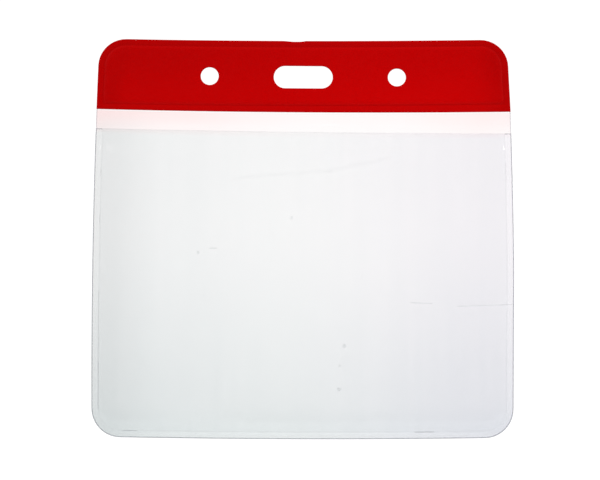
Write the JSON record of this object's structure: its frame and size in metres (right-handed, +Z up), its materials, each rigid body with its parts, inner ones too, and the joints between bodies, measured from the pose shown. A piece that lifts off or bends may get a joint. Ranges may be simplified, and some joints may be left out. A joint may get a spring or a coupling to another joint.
{
  "type": "badge holder",
  "caption": "Flat clear vinyl pocket for a landscape card, open along its top, under a coloured header bar with a strap slot and round chain holes.",
  "frame": {"origin": "centre of the strap slot, on the plane where the films are welded together", "axes": "+X to the right across the front, +Y out of the back, -Y out of the front towards the viewer, +Z up towards the slot's edge of the holder"},
  "size_m": [0.111, 0.0012, 0.1055],
  "materials": {
    "header_film": "opaque red flexible vinyl, semi-gloss",
    "clear_film": "clear flexible vinyl, slightly hazy, glossy"
  },
  "bodies": {
    "header": {"header_bar": "header_film", "rear_film_header": "clear_film", "rear_film_flex_band": "clear_film"},
    "pocket": {"rear_film_pocket": "clear_film", "front_film_window": "clear_film", "front_film_weld": "clear_film"}
  },
  "joints": [
    {"name": "pocket_flex", "type": "hinge", "parent": "header", "child": "pocket", "pos_m": [0, 0.00015, -0.0116], "axis": [1, 0, 0], "range_deg": [-90, 90], "stiffness_Nm_per_rad": 0.001, "deforming": ["rear_film_flex_band"]}
  ]
}
